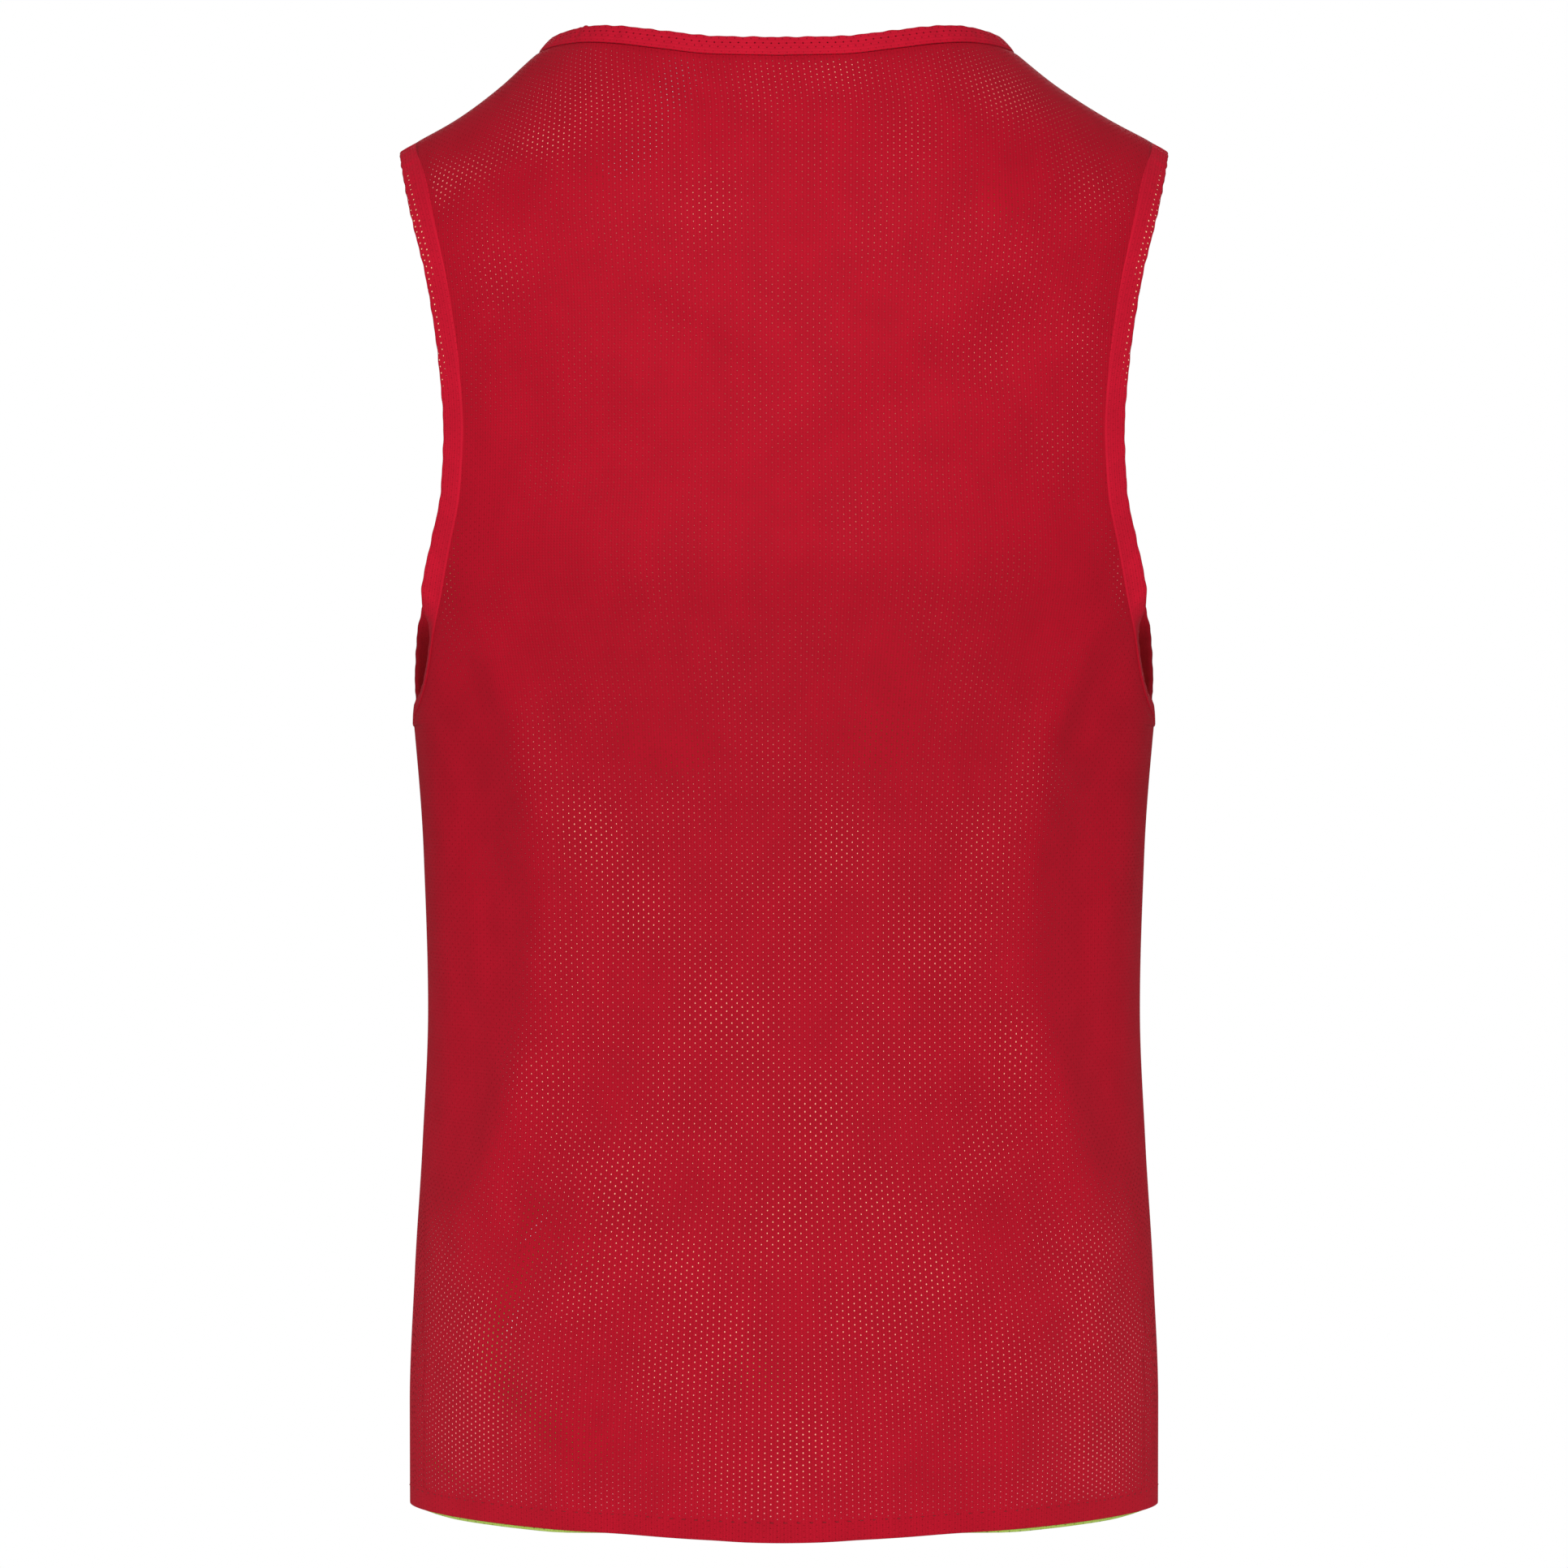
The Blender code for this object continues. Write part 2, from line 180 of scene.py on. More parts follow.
FRONT_CREASES = (
    (-140, -45, -84, -100, 0, 6, 1.1),
    (138, -50, 80, -108, 0, 6, 1.2),
    (122, -100, 50, -190, 5, 8, 1.3),
    (-124, -108, -48, -186, -4, 8, 1.3),
    (118, -160, 40, -215, 0, 8, -1.1),
    (-116, -165, -46, -220, 0, 8, -1.1),
    (150, -262, 128, -310, 0, 10, -2),
    (-150, -260, -126, -305, 0, 10, -1.9),
    (154, -350, 140, -440, 0, 8, 1.2),
    (-155, -345, -142, -430, 0, 8, 1.1),
    (46, -380, 88, -450, 4, 6, 1.2),
    (-50, -390, -90, -445, -3, 6, 1.1),
    (36, -440, 52, -520, 0, 9, 0.9),
    (-40, -455, -50, -520, 0, 9, 0.9),
    (-42, -520, 40, -522, 0, 10, -1.5),
    (-44, -552, 46, -554, 0, 12, 1.8),
    (30, -575, 36, -655, 0, 8, -1),
    (-34, -570, -40, -655, 0, 8, -1),
    (124, -575, 130, -650, 0, 9, -1.2),
    (-120, -570, -128, -652, 0, 9, -1.2),
)
CREASE_MARGIN = 0.012


def follow(table, column, at):
    """Smooth curve without overshoot through a column of a table, read along its first one."""
    x = np.array([row[0] for row in table])
    y = np.array([row[column] for row in table])
    slope = np.diff(y) / np.diff(x)
    before, after = slope[:-1], slope[1:]
    product = before * after
    total = before + after
    safe = np.where(total == 0, 1, total)
    inner = np.where(product > 0, 2 * product / safe, 0)
    tangent = np.concatenate(([slope[0]], inner, [slope[-1]]))
    at = np.clip(at, x[0], x[-1])
    i = np.clip(np.searchsorted(x, at, side="right") - 1, 0, len(x) - 2)
    step = x[i + 1] - x[i]
    t = (at - x[i]) / step
    rise = y[i + 1] - y[i]
    bend = (1 - t) * (tangent[i] * step - rise) - t * (tangent[i + 1] * step - rise)
    return y[i] + t * rise + t * (1 - t) * bend


def smooth(value, low, high):
    """Rises softly from 0 at low to 1 at high."""
    t = np.clip((value - low) / (high - low), 0, 1)
    return t * t * (3 - 2 * t)


def between(value, rise, fall):
    """Rises softly from 0 to 1 over the range rise and goes back to 0 over the range fall."""
    return smooth(value, *rise) * (1 - smooth(value, *fall))


def freed(distance, first, second, share):
    """0 near an edge that holds the cloth and 1 far from it. The range in which it rises goes
    from the first to the second one by a share."""
    low, high = (a + (b - a) * share for a, b in zip(first, second))
    return smooth(distance, low, high)


def none(at):
    return 0 * at


def unit(vectors):
    return vectors / np.linalg.norm(vectors, axis=-1, keepdims=True)


def depth(side, x, z):
    """How far the cloth lies behind the plane of the seams (side 1) or before it (side -1)."""
    out = np.abs(x)
    back = side > 0
    square = follow(RINGS, 4 if back else 5, z)
    part = np.minimum(out / follow(RINGS, 1, z), 1)
    ring = follow(RINGS, 2 if back else 3, z) * (1 - part**square) ** (1 / square)
    below = (follow(RIDGE, 1, out) - z) / follow(RIDGE, 2 if back else 3, out)
    left = 1 - np.clip(below, 0, 1)
    return ring * (1 - left**SHOULDER_ROUND) ** (1 / SHOULDER_ROUND)


def neckline(side, turn):
    x = NECK_HALF * np.sin(turn * np.pi / 2)
    if side > 0:
        return x, follow(BACK_NECK, 1, x)
    drop = (1 - (x / NECK_HALF) ** FRONT_NECK_SQUARE) ** (1 / FRONT_NECK_SQUARE)
    return x, NECK_CORNER + (FRONT_NECK - NECK_CORNER) * drop


class Panel:
    """A panel's grid over the worn form: places, normals and the flat cloth's own measures."""

    NECK_SPREAD = 1.15  # how much closer the columns stand towards the neck's corners
    SIDE_SPREAD = 1.35  # and towards the sides
    EDGE_PULL = 3  # the armhole pulls the columns near it by this power of their place
    EDGE_PASSES = 4
    FINE_STEPS = 1200
    SLOPE_STEP = 0.00001
    FLAT_STEPS = 40

    def __init__(self, side, neck, shoulder, body, yoke):
        self.side, self.neck, self.shoulder, self.body = side, neck, shoulder, body
        top_x, top_z = self.top_edge()
        half = neck + shoulder
        across = 1 - np.linspace(1, 0, half + 1) ** self.SIDE_SPREAD
        across = np.sin(across * np.pi / 2)

        body_z = np.linspace(HEM, UNDERARM, body + 1)
        x = follow(RINGS, 1, body_z)[:, None] * across
        z = np.repeat(body_z[:, None], half + 1, axis=1)

        up = (1 - np.cos(np.linspace(0, np.pi, yoke + 1))) / 2
        up = up[1:, None]
        late = 1 - np.sqrt(1 - up**2)
        plain_x = SIDE_HALF * across * (1 - late) + top_x * late
        pull = across**self.EDGE_PULL
        yoke_x = plain_x
        for _ in range(self.EDGE_PASSES):
            ceiling = follow(RIDGE, 1, yoke_x) + top_z - follow(RIDGE, 1, top_x)
            yoke_z = UNDERARM + up * (ceiling - UNDERARM)
            edge = follow(ARMHOLE, 1 if side > 0 else 2, yoke_z[:, -1:])
            yoke_x = plain_x + (edge - plain_x[:, -1:]) * pull
        x = np.vstack((x, yoke_x))
        z = np.vstack((z, yoke_z))
        self.x = np.hstack((-x[:, :0:-1], x))
        self.z = np.hstack((z[:, :0:-1], z))
        y = side * depth(side, self.x, self.z)
        self.plain = np.stack((self.x, y, self.z), axis=2)
        self.normals = self.outward()
        self.plain[:, :, 0] += NECK_SHIFT * smooth(self.z, NECK_SHIFT_FROM, NECK_CORNER)
        self.from_edge = np.hypot(
            np.abs(self.x[:, -1:]) - np.abs(self.x), np.abs(y) - np.abs(y[:, -1:])
        )
        self.from_top = self.z[-1:] - self.z
        self.points = self.plain + self.normals * self.folds()[:, :, None]
        self.u, self.v, self.knit_u, self.knit_v = self.flat_measures()
        self.beside = np.abs(self.u[:, -1:]) - np.abs(self.u)
        self.under = self.v[-1:] - self.v
        self.from_seam = np.minimum(self.beside, self.under)

    def top_edge(self):
        """Neckline and shoulder seam of half the panel, from the centre out."""
        fine = 1 - np.linspace(1, 0, self.FINE_STEPS) ** 2
        x, z = neckline(self.side, fine)
        steps = np.linalg.norm(np.diff((x, depth(self.side, x, z), z)), axis=0)
        length = np.concatenate(([0], np.cumsum(steps))) / np.sum(steps)
        stops = 1 - np.linspace(1, 0, self.neck + 1) ** self.NECK_SPREAD
        neck_x, neck_z = neckline(self.side, np.interp(stops, length, fine))
        shoulder_x = np.linspace(NECK_HALF, TIP_HALF, self.shoulder + 1)[1:]
        x = np.concatenate((neck_x, shoulder_x))
        return x, np.concatenate((neck_z, follow(RIDGE, 1, shoulder_x)))

    def outward(self):
        x, z, step = self.x, self.z, self.SLOPE_STEP
        slope_x = (depth(self.side, x + step, z) - depth(self.side, x - step, z)) / (2 * step)
        slope_z = (depth(self.side, x, z + step) - depth(self.side, x, z - step)) / (2 * step)
        normals = unit(np.stack((-slope_x, np.full_like(x, self.side), -slope_z), axis=2))
        body = slice(0, self.body + 1)
        for column, out in ((0, -1), (-1, 1)):
            climb = np.gradient(self.plain[body, column], axis=0)
            square = (climb[:, 2], 0 * climb[:, 0], -climb[:, 0])
            normals[body, column] = unit(np.stack(square, axis=1) * out)
        for seam in (slice(0, self.shoulder + 1), slice(-self.shoulder - 1, None)):
            run = np.gradient(self.plain[-1, seam], axis=0)
            normals[-1, seam] = unit(np.stack((-run[:, 2], 0 * run[:, 0], run[:, 0]), axis=1))
        return normals

    def folds(self):
        """Rise of the folds and creases over the plain form."""
        total = np.zeros_like(self.x)
        back = self.side > 0
        for table, margin in (
            (BACK_FOLDS if back else FRONT_FOLDS, FOLD_MARGIN),
            (BACK_CREASES if back else FRONT_CREASES, CREASE_MARGIN),
        ):
            part = np.zeros_like(self.x)
            for row in table:
                x0, z0, x1, z1, bow, width, rise = (value / 1000 for value in row)
                dx, dz = x1 - x0, z1 - z0
                length = math.hypot(dx, dz)
                along = ((self.x - x0) * dx + (self.z - z0) * dz) / length**2
                held = np.clip(along, 0, 1)
                aside = bow * 4 * held * (1 - held) / length
                off_x = self.x - x0 - held * dx + aside * dz
                off = np.hypot(off_x, self.z - z0 - held * dz - aside * dx)
                inside = np.minimum(along, 1 - along)
                fade = smooth(inside, -FOLD_OVERRUN, FOLD_FADE - FOLD_OVERRUN)
                part += rise * fade * np.exp(-((off / width) ** 2))
            total += part * smooth(self.from_edge, 0, margin) * smooth(self.from_top, 0, margin)
        return total

    def flat_measures(self):
        """Distances over the cloth, across from the centre and up from the underarm, and then
        the same in slack cloth, which tells how far the knit is drawn out."""
        share = np.sin(np.linspace(0, np.pi / 2, self.FLAT_STEPS))
        x = self.x[..., None] * share
        z = self.z[..., None]
        y = depth(self.side, x, z)
        across = np.hypot(np.diff(x), np.diff(y)).sum(axis=-1) * np.sign(self.x)
        z = UNDERARM + (self.z[..., None] - UNDERARM) * share
        y = depth(self.side, self.x[..., None], z)
        steps, rise = np.hypot(np.diff(z), np.diff(y)), np.abs(np.diff(z))
        above = np.sign(self.z - UNDERARM)
        drawn = np.sqrt(steps * rise) / follow(KNIT_DRAWN, 2, (z[..., 1:] + z[..., :-1]) / 2)
        slack_across = across * HOLE_ACROSS / follow(KNIT_DRAWN, 1, self.z)
        slack_up = drawn.sum(axis=-1) * above * HOLE_ALONG
        return across, steps.sum(axis=-1) * above, slack_across, slack_up


HOLE_ACROSS = 0.0028  # between columns of holes, in slack cloth
HOLE_ALONG = 0.0027  # between the holes of a column
KNIT_DRAWN = (
    # height, between columns, between the holes of a column
    (HEM, 0.00284, 0.00262),
    (-0.625, 0.00280, 0.00272),
    (-0.590, 0.00272, 0.00298),
    (-0.535, 0.00256, 0.00336),
    (-0.455, 0.00236, 0.00366),
    (-0.370, 0.00237, 0.00342),
    (-0.300, 0.00245, 0.00323),
    (-0.225, 0.00268, 0.00325),
    (-0.125, 0.00265, 0.00354),
    (-0.060, 0.00274, 0.00328),
    (-0.010, 0.00279, 0.00286),
)

PANEL_CELLS = {"neck": 44, "shoulder": 24, "body": 132, "yoke": 112}
MIDDLE = Vector((0, 0, -0.3))  # of the whole bib
WELD = 0.000001
CLOTH = 0.00016  # thickness of the mesh
TURN_UP = 0.0092  # depth of the turned hem
HEM_FOLD = 0.00095  # thickness of that hem, over its two layers
SEAM_SINK = 0.00045  # the cloth dips this much into a seam
SIDE_SINK = 0.0002  # and this much at the sides and armholes
SEAM_REACH = 0.0032  # and starts to dip this far from it
DROP_ENDS = (HEM, HEM + 0.03)  # heights between which a hem's drop ends

# How far the holes are drawn open, as the cloth is strained, and how dark the painted shade is
STRAIN = (
    # height, open, painted shade
    (HEM, 0.52, 0.0),
    (-0.630, 0.52, 0.05),
    (-0.585, 0.51, 0.10),
    (-0.538, 0.49, 0.11),
    (-0.512, 0.47, 0.17),
    (-0.420, 0.44, 0.17),
    (-0.370, 0.40, 0.22),
    (-0.320, 0.30, 0.25),
    (-0.270, 0.19, 0.26),
    (-0.238, 0.17, 0.23),
    (-0.212, 0.19, 0.13),
    (-0.150, 0.23, 0.09),
    (-0.050, 0.28, 0.08),
    (0.000, 0.40, 0.02),
)
HOLE_PATCHES = (
    # to the right as seen from outside, height, reach across and up (millimetres), change
    (152, -600, 28, 70, 0.32),
    (-152, -600, 28, 70, 0.32),
    (84, -628, 26, 34, -0.22),
    (-82, -630, 27, 36, -0.22),
    (150, -430, 28, 80, -0.42),
    (-150, -435, 28, 85, -0.42),
    (84, -345, 17, 30, 0.13),
    (-83, -343, 18, 30, 0.16),
    (0, -345, 30, 25, 0.06),
    (110, -90, 34, 90, 0.07),
    (-75, -170, 60, 80, -0.14),
    (-60, -50, 50, 40, 0.05),
    (-115, -29, 18, 9, 0.34),
    (-143, -40, 14, 9, 0.38),
    (-160, -47, 9, 12, 0.40),
    (146, -47, 16, 14, 0.16),
    (-155, -226, 6, 22, 0.45),
    (156, -230, 6, 20, 0.40),
    (-108, -10, 22, 16, 0.30),
    (108, -4, 24, 16, 0.28),
    (55, 2, 50, 12, 0.12),
    (-134, -75, 10, 40, 0.14),
    (138, -110, 12, 50, 0.16),
)
# Near an edge that holds the cloth, the holes are shut up to the first of these distances and free
# from the second on
SHUT_AT_ARMHOLE = (0.0040, 0.0060)
SHUT_AT_SIDE = (0.0060, 0.0105)
SHUT_AT_NECK = (0.0010, 0.0045)
SHUT_AT_SHOULDER = (0.0070, 0.0125)
SHUT_AT_HEM = (0.0075, 0.0115)
SIDE_ENDS = (UNDERARM, UNDERARM + 0.03)  # heights, up to the armhole
SHOULDER_BEGINS = (NECK_HALF - 0.004, NECK_HALF + 0.004)  # from the centre
HOLE_WAVES = (
    # turns a metre across, turns a metre up, phase, change
    (9.0, 6.0, 0.4, 0.05),
    (-13.0, 8.0, 2.1, 0.04),
    (17.0, 14.0, 4.0, 0.035),
    (-6.0, 19.0, 1.2, 0.03),
    (26.0, -9.0, 3.3, 0.025),
)

# The turned hem in section: height over the fold, and the share of its thickness gone inwards
TURN_SECTION = (
    (TURN_UP, 1.0),
    (0.0062, 1.0),
    (0.0032, 1.0),
    (0.0012, 1.0),
    (0.00035, 0.90),
    (0.0, 0.5),
    (0.00035, 0.10),
    (0.0014, 0.0),
)


def hole_openness(panel):
    """How far the holes are drawn open all over a panel, from 0 to 1. The hem and the seams with
    what lies behind them shut the holes."""
    x, z = panel.x * -panel.side, panel.z
    total = follow(STRAIN, 1, z)
    for *patch, change in HOLE_PATCHES:
        right, height, reach_x, reach_z = (value / 1000 for value in patch)
        away = ((x - right) / reach_x) ** 2 + ((z - height) / reach_z) ** 2
        total += change * np.exp(-away)
    for turns_x, turns_z, phase, change in HOLE_WAVES:
        total += change * np.sin(2 * np.pi * (turns_x * x + turns_z * z) + phase)
    side = 1 - smooth(z, *SIDE_ENDS)
    shoulder = smooth(np.abs(panel.x[-1:]), *SHOULDER_BEGINS)
    total *= freed(panel.beside, SHUT_AT_ARMHOLE, SHUT_AT_SIDE, side)
    total *= freed(panel.under, SHUT_AT_NECK, SHUT_AT_SHOULDER, shoulder)
    return np.clip(total * smooth(z - HEM, *SHUT_AT_HEM), 0, 1)


def finished(name, bm, thickness=0.0):
    """The piece that a bmesh makes, with the thickness of its cloth on the inside."""
    mesh = bpy.data.meshes.new(name)
    bm.to_mesh(mesh)
    bm.free()
    mesh.shade_smooth()
    piece = bpy.data.objects.new(name, mesh)
    bpy.context.collection.objects.link(piece)
    if thickness:
        wall = piece.modifiers.new("wall", "SOLIDIFY")
        wall.thickness = thickness
        wall.offset = -1
    return piece


def cloth_sheet(name, places, knit, masks, near, out, thickness):
    """A sheet over a grid of places, with the place in the knit and the masks at each of them.
    Its normals look out at the face nearest to a point."""
    height, width = places.shape[:2]
    bm = bmesh.new()
    bmesh.ops.create_grid(bm, x_segments=width - 1, y_segments=height - 1, size=1)
    bm.verts.index_update()
    uv = bm.loops.layers.uv.new("cloth")
    layers = []
    for mask, values in masks.items():
        layers.append((bm.verts.layers.float.new(mask), np.broadcast_to(values, (height, width))))
    at = {}
    for vert in bm.verts:
        i = round((vert.co.x + 1) / 2 * (width - 1))
        j = round((vert.co.y + 1) / 2 * (height - 1))
        at[vert.index] = (j, i)
        vert.co = places[j, i]
        for layer, values in layers:
            vert[layer] = values[j, i]
    for face in bm.faces:
        for loop in face.loops:
            loop[uv].uv = knit[at[loop.vert.index]]
    nearest = min(bm.faces, key=lambda f: (f.calc_center_median() - Vector(near)).length)
    nearest.normal_update()
    if nearest.normal.dot(out) < 0:
        bmesh.ops.reverse_faces(bm, faces=bm.faces)
    bmesh.ops.remove_doubles(bm, verts=bm.verts, dist=WELD)
    return finished(name, bm, thickness)


def cloth_grid(name, panel, face, turned, drop, out, **masks):
    """The panel as one sheet with its turned hem. Face is its offset from the outer face, turned
    the side to which the hem is turned, drop what the hem hangs low, and out its normal's side.
    Masks are its knit's, each with a value for every place of the panel's grid."""
    rows = [(0, height, share) for height, share in TURN_SECTION]
    rows += [(row, 0.0, 0.0) for row in range(1, len(panel.z))]
    low, high = panel.points[0], panel.points[1]
    climb = (high - low) / (high[:, 2:] - low[:, 2:])
    places, knit = [], []
    for row, over, share in rows:
        offset = (face(panel, row) + turned * share * HEM_FOLD)[:, None]
        place = panel.points[row] + climb * over + panel.normals[row] * offset
        place[:, 2] -= drop(panel.x[0]) * (1 - smooth(panel.z[row] + over, *DROP_ENDS))
        places.append(place)
        up = panel.knit_v[row] + (over if share < 0.5 else -over)
        knit.append(np.stack((panel.knit_u[row], up), axis=1))
    taken = [row for row, *_ in rows]
    masks = {mask: values[taken] for mask, values in masks.items()}
    places, knit, out = np.array(places), np.array(knit), Vector((0, out, 0))
    return cloth_sheet(name, places, knit, masks, MIDDLE, out, CLOTH)


def feed(tree, sockets, inputs):
    """Gives sockets their inputs, which are values or other nodes' sockets to link."""
    for key, value in inputs.items():
        if isinstance(value, bpy.types.NodeSocket):
            tree.links.new(value, sockets[key])
        else:
            sockets[key].default_value = value


def add_node(tree, kind, inputs=(), **settings):
    node = tree.nodes.new("ShaderNode" + kind)
    for name, value in settings.items():
        setattr(node, name, value)
    feed(tree, node.inputs, dict(inputs))
    return node


def maths(tree, operation, *values):
    return add_node(tree, "Math", enumerate(values), operation=operation).outputs[0]


def vectors(tree, operation, *values):
    node = add_node(tree, "VectorMath", enumerate(values), operation=operation)
    return node.outputs["Value" if operation == "LENGTH" else "Vector"]


def scaled(tree, vector, by):
    inputs = {0: vector, "Scale": by}
    return add_node(tree, "VectorMath", inputs, operation="SCALE").outputs["Vector"]


def ramp(tree, value, low, high, at_low, at_high):
    """Goes softly from at_low to at_high while the value goes from low to high."""
    inputs = {0: value, 1: low, 2: high, 3: at_low, 4: at_high}
    node = add_node(tree, "MapRange", inputs, interpolation_type="SMOOTHSTEP")
    return node.outputs[0]


def blend(tree, share, first, second):
    inputs = {0: share, 6: first, 7: second}
    return add_node(tree, "Mix", inputs, data_type="RGBA").outputs[2]


def stray(tree, vector, scale, reach):
    """A vector moved about at random by up to half a reach."""
    noise = add_node(tree, "TexNoise", {"Vector": vector, "Scale": scale, "Detail": 1.0})
    centred = vectors(tree, "SUBTRACT", noise.outputs["Color"], (0.5, 0.5, 0.5))
    return vectors(tree, "ADD", vector, scaled(tree, centred, reach))


# Knitted mesh: round holes in staggered columns, between upright ribs of small loops
tree = mesh_knit = bpy.data.node_groups.new("Knitted mesh", "ShaderNodeTree")
for name in ("Cloth", "Across", "Along", "Radius"):
    kind = "NodeSocketVector" if name == "Cloth" else "NodeSocketFloat"
    tree.interface.new_socket(name, in_out="INPUT", socket_type=kind)
for name in ("Hole", "Height", "Light"):
    tree.interface.new_socket(name, in_out="OUTPUT", socket_type="NodeSocketFloat")
RIB = 0.00075  # half the distance between ribs
LOOP = 0.00105  # height of a loop
LOOP_SLANT = 0.8 * RIB
HOLE_SOFT = 0.00005  # half the width of a hole's edge
HOLE_RIM = 0.0004  # the cloth dips into a hole over this width
RIM_LIGHT = 0.4  # and is so much lit at its edge
KNIT_STRAY = 0.00016
KNIT_STRAY_SCALE = 160.0
# What ribs, loops and the banks round the holes add to the height and the light
RIB_HIGH, LOOP_HIGH, BANK_HIGH = 0.30, 0.12, 0.6
RIB_LIGHT, LOOP_LIGHT, BASE_LIGHT = 0.22, 0.06, 0.78
given = tree.nodes.new("NodeGroupInput").outputs
place = stray(tree, given["Cloth"], KNIT_STRAY_SCALE, KNIT_STRAY)
twice = maths(tree, "MULTIPLY", given["Across"], 2.0)
cell = add_node(tree, "CombineXYZ", {0: twice, 1: given["Along"], 2: 1.0}).outputs[0]
flat = add_node(tree, "CombineXYZ", {0: twice, 1: given["Along"], 2: 0.0}).outputs[0]
count = vectors(tree, "DIVIDE", place, cell)
distances = []
for shift in (0.0, 0.5):
    moved = vectors(tree, "FRACTION", vectors(tree, "ADD", count, (shift, shift, 0.0)))
    centred = vectors(tree, "SUBTRACT", moved, (0.5, 0.5, 0.0))
    distances.append(vectors(tree, "LENGTH", vectors(tree, "MULTIPLY", centred, flat)))
nearest = maths(tree, "MINIMUM", *distances)
inner = maths(tree, "SUBTRACT", given["Radius"], HOLE_SOFT)
outer = maths(tree, "ADD", given["Radius"], HOLE_SOFT)
rim = maths(tree, "ADD", given["Radius"], HOLE_RIM)
hole = ramp(tree, nearest, inner, outer, 1.0, 0.0)
bank = ramp(tree, nearest, inner, rim, RIM_LIGHT, 1.0)
axes = add_node(tree, "SeparateXYZ", {0: place}).outputs
rib = maths(tree, "MULTIPLY", maths(tree, "PINGPONG", axes[0], RIB), 1 / RIB)
slant = maths(tree, "MULTIPLY_ADD", rib, LOOP_SLANT, axes[1])
loops = maths(tree, "SINE", maths(tree, "MULTIPLY", slant, 2 * math.pi / LOOP))
height = maths(tree, "MULTIPLY_ADD", rib, RIB_HIGH, maths(tree, "MULTIPLY", loops, LOOP_HIGH))
height = maths(tree, "MULTIPLY_ADD", bank, BANK_HIGH, height)
light = maths(tree, "MULTIPLY_ADD", rib, RIB_LIGHT, maths(tree, "MULTIPLY", loops, LOOP_LIGHT))
light = maths(tree, "MULTIPLY", maths(tree, "ADD", light, BASE_LIGHT), bank)
results = tree.nodes.new("NodeGroupOutput").inputs
feed(tree, results, {"Hole": hole, "Height": height, "Light": light})
DRIFT_SCALE = 7.0
MOTTLE_SCALE = 55.0
MOTTLE = (0.90, 1.02)  # least and most light of the mottled cloth


def new_material(name):
    """A material, its node tree and the inputs of its shader."""
    material = bpy.data.materials.new(name)
    material.use_nodes = True
    return material, material.node_tree, material.node_tree.nodes["Principled BSDF"].inputs


def knitted_cloth(
    name, deep, lit, shut, drawn, across=HOLE_ACROSS, along=HOLE_ALONG, turn=0.0, drift=0.0
):
    """Finish of a mesh: colours of the knit in painted shade deep in it and painted lit on it,
    radius of a slack hole and of one drawn open, distances between holes, and how the pattern
    lies on the cloth."""
    material, tree, shader = new_material(name)
    cloth = add_node(tree, "UVMap", uv_map="cloth").outputs[0]
    placing = {"Vector": cloth, "Rotation": (0.0, 0.0, turn)}
    laid = add_node(tree, "Mapping", placing).outputs[0]
    laid = stray(tree, laid, DRIFT_SCALE, drift)
    strain = add_node(tree, "Attribute", attribute_name="openness").outputs["Fac"]
    radius = ramp(tree, strain, 0.0, 1.0, shut, drawn)
    inputs = {"Cloth": laid, "Across": across, "Along": along, "Radius": radius}
    knit = add_node(tree, "Group", inputs, node_tree=mesh_knit)
    grain = {"Vector": cloth, "Scale": MOTTLE_SCALE, "Detail": 5.0}
    mottle = add_node(tree, "TexNoise", grain).outputs["Fac"]
    mottle = ramp(tree, mottle, 0.3, 0.7, *MOTTLE)
    # painted shade from the mesh's attribute darkens the knit's colour
    painted_shade = add_node(tree, "Attribute", attribute_name="painted_shade").outputs["Fac"]
    bright = maths(tree, "MULTIPLY", mottle, maths(tree, "SUBTRACT", 1.0, painted_shade))
    share = maths(tree, "MULTIPLY", knit.outputs["Light"], bright)
    relief = {"Height": knit.outputs["Height"], "Strength": 0.5, "Distance": 0.00035}
    look = {
        "Base Color": blend(tree, share, deep, lit),
        "Normal": add_node(tree, "Bump", relief).outputs[0],
        "Alpha": maths(tree, "SUBTRACT", 1.0, knit.outputs["Hole"]),
        "Roughness": 0.75,
        "Specular IOR Level": 0.12,
        "Sheen Weight": 0.04,
        "Sheen Roughness": 0.4,
        "Sheen Tint": lit,
    }
    feed(tree, shader, look)
    return material


red_mesh = knitted_cloth(
    "Red mesh",
    deep=(0.22, 0.0015, 0.006, 1.0),
    lit=(0.605, 0.0050, 0.025, 1.0),
    shut=0.00008,
    drawn=0.00045,
)


def red_face(panel, row):
    """The outer face, which dips into the seams."""
    sink = SEAM_SINK * (1 - smooth(panel.under[row], 0, SEAM_REACH))
    return -sink - SIDE_SINK * (1 - smooth(panel.beside[row], 0, SEAM_REACH))


SHADE_HALVES_AT_SIDES = (0.105, 0.130)  # from the centre, the painted shade falls to half between these
panels = {}
for name, side in (("back", 1), ("front", -1)):
    panel = panels[name] = Panel(side, **PANEL_CELLS)
    # painted shade over the panel, by height and less towards the sides
    at_sides = smooth(np.abs(panel.x), *SHADE_HALVES_AT_SIDES)
    painted_shade = follow(STRAIN, 2, panel.z) * (1 - at_sides / 2)
    masks = {"openness": hole_openness(panel), "painted_shade": painted_shade}
    piece = cloth_grid(f"{name}_red_mesh", panel, red_face, -1, none, side, **masks)
    piece.data.materials.append(red_mesh)
    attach(piece, "root")
    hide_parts(f"{name}_panel")

